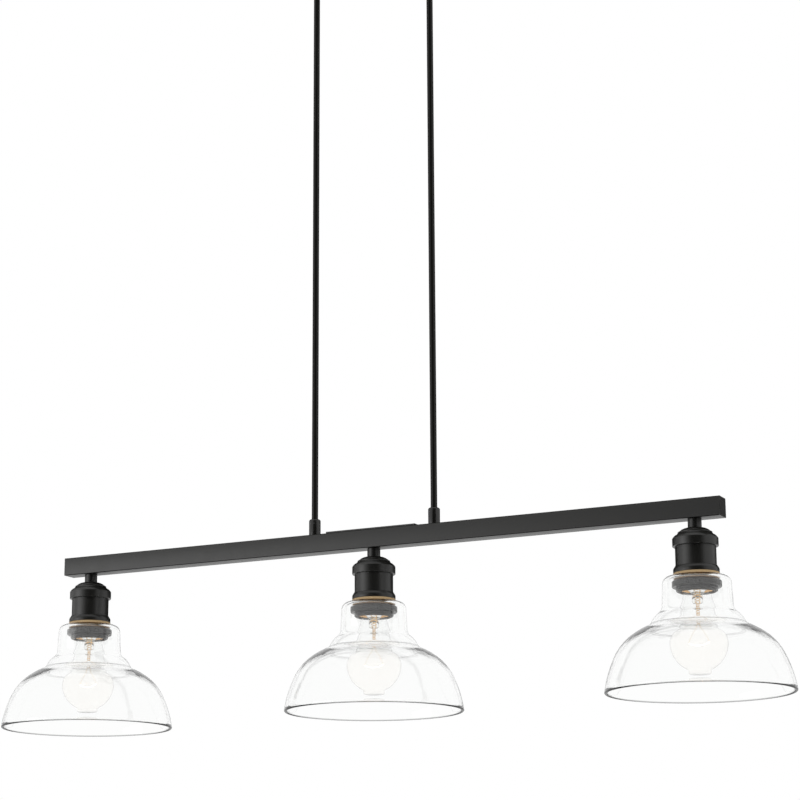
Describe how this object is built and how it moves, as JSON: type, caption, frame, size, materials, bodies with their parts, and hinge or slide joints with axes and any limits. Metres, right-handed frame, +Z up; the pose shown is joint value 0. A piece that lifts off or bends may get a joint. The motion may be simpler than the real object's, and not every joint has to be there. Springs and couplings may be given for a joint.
{
  "type": "linear island pendant",
  "caption": "Linear island pendant: clear glass bell shades on round cups under a straight square bar, hung by slim rods from a rectangular canopy.",
  "frame": {"origin": "centre of the canopy's top plane, where it meets the ceiling, and of the strap's slots", "axes": "+Z up, +X along the bar to the viewer's right, -Y to the front"},
  "size_m": [0.9144, 0.1904, 0.9109],
  "materials": {
    "black_metal": "satin black powder coat",
    "black_hardware": "satin black",
    "zinc_steel": "zinc plated",
    "green_steel": "green dyed",
    "clear_glass": "clear, polished",
    "bulb_glass": "clear, polished",
    "cap_metal": "plain",
    "shell_brass": "plain",
    "black_moulding": "matt black moulding",
    "tan_fibre": "plain fibre washer",
    "filament_wire": "glowing when lit",
    "white_moulding": "plain",
    "wire_insulation": "plain",
    "connector_plastic": "plain"
  },
  "bodies": {
    "ceiling": {"canopy": "black_metal", "mounting_strap": "zinc_steel", "canopy_studs": "zinc_steel", "cap_nuts": "black_hardware", "ground_screw": "green_steel", "swivel_housings": "black_metal", "swivel_collars": "black_metal", "swivel_nuts": "zinc_steel", "canopy_wires": "wire_insulation", "wire_nuts": "connector_plastic"},
    "pendant": {"swivel_balls": "black_metal", "rod_left": "black_metal", "rod_right": "black_metal", "coupling_left": "black_metal", "coupling_right": "black_metal", "coupling_set_screws": "black_hardware", "bar_tube": "black_metal", "bar_end_caps": "black_metal", "cover_plate": "black_metal", "cover_screws": "black_hardware", "lamp_threads": "zinc_steel", "thread_nuts": "zinc_steel", "shade_gaskets": "tan_fibre", "centre_contacts": "shell_brass", "terminal_block": "white_moulding", "supply_wires": "wire_insulation", "lamp_leads": "wire_insulation", "post_left": "black_metal", "post_centre": "black_metal", "post_right": "black_metal", "cup_cap_left": "black_metal", "cup_cap_centre": "black_metal", "cup_cap_right": "black_metal", "cup_body_left": "black_metal", "cup_body_centre": "black_metal", "cup_body_right": "black_metal", "lampholder_left": "black_moulding", "lampholder_centre": "black_moulding", "lampholder_right": "black_moulding", "screw_shell_left": "shell_brass", "screw_shell_centre": "shell_brass", "screw_shell_right": "shell_brass", "shade_left": "clear_glass", "shade_centre": "clear_glass", "shade_right": "clear_glass"},
    "ring_left": {"shade_ring_left": "black_hardware"},
    "bulb_left": {"bulb_glass_left": "bulb_glass", "bulb_cap_left": "cap_metal", "bulb_stem_left": "bulb_glass", "bulb_filament_left": "filament_wire"},
    "ring_centre": {"shade_ring_centre": "black_hardware"},
    "bulb_centre": {"bulb_glass_centre": "bulb_glass", "bulb_cap_centre": "cap_metal", "bulb_stem_centre": "bulb_glass", "bulb_filament_centre": "filament_wire"},
    "ring_right": {"shade_ring_right": "black_hardware"},
    "bulb_right": {"bulb_glass_right": "bulb_glass", "bulb_cap_right": "cap_metal", "bulb_stem_right": "bulb_glass", "bulb_filament_right": "filament_wire"}
  },
  "joints": [
    {"name": "pendant_swing", "type": "hinge", "parent": "ceiling", "child": "pendant", "pos_m": [0, 0, -0.037], "axis": [1, 0, 0], "range_deg": [-25, 25]},
    {"name": "ring_turn_left", "type": "hinge", "parent": "pendant", "child": "ring_left", "pos_m": [-0.362, 0, -0.7971], "axis": [0, 0, 1], "range_deg": [-1440, 0]},
    {"name": "bulb_turn_left", "type": "hinge", "parent": "pendant", "child": "bulb_left", "pos_m": [-0.362, 0, -0.8074], "axis": [0, 0, 1], "range_deg": [-1080, 0]},
    {"name": "ring_turn_centre", "type": "hinge", "parent": "pendant", "child": "ring_centre", "pos_m": [0, 0, -0.7971], "axis": [0, 0, 1], "range_deg": [-1440, 0]},
    {"name": "bulb_turn_centre", "type": "hinge", "parent": "pendant", "child": "bulb_centre", "pos_m": [0, 0, -0.8074], "axis": [0, 0, 1], "range_deg": [-1080, 0]},
    {"name": "ring_turn_right", "type": "hinge", "parent": "pendant", "child": "ring_right", "pos_m": [0.362, 0, -0.7971], "axis": [0, 0, 1], "range_deg": [-1440, 0]},
    {"name": "bulb_turn_right", "type": "hinge", "parent": "pendant", "child": "bulb_right", "pos_m": [0.362, 0, -0.8074], "axis": [0, 0, 1], "range_deg": [-1080, 0]}
  ]
}
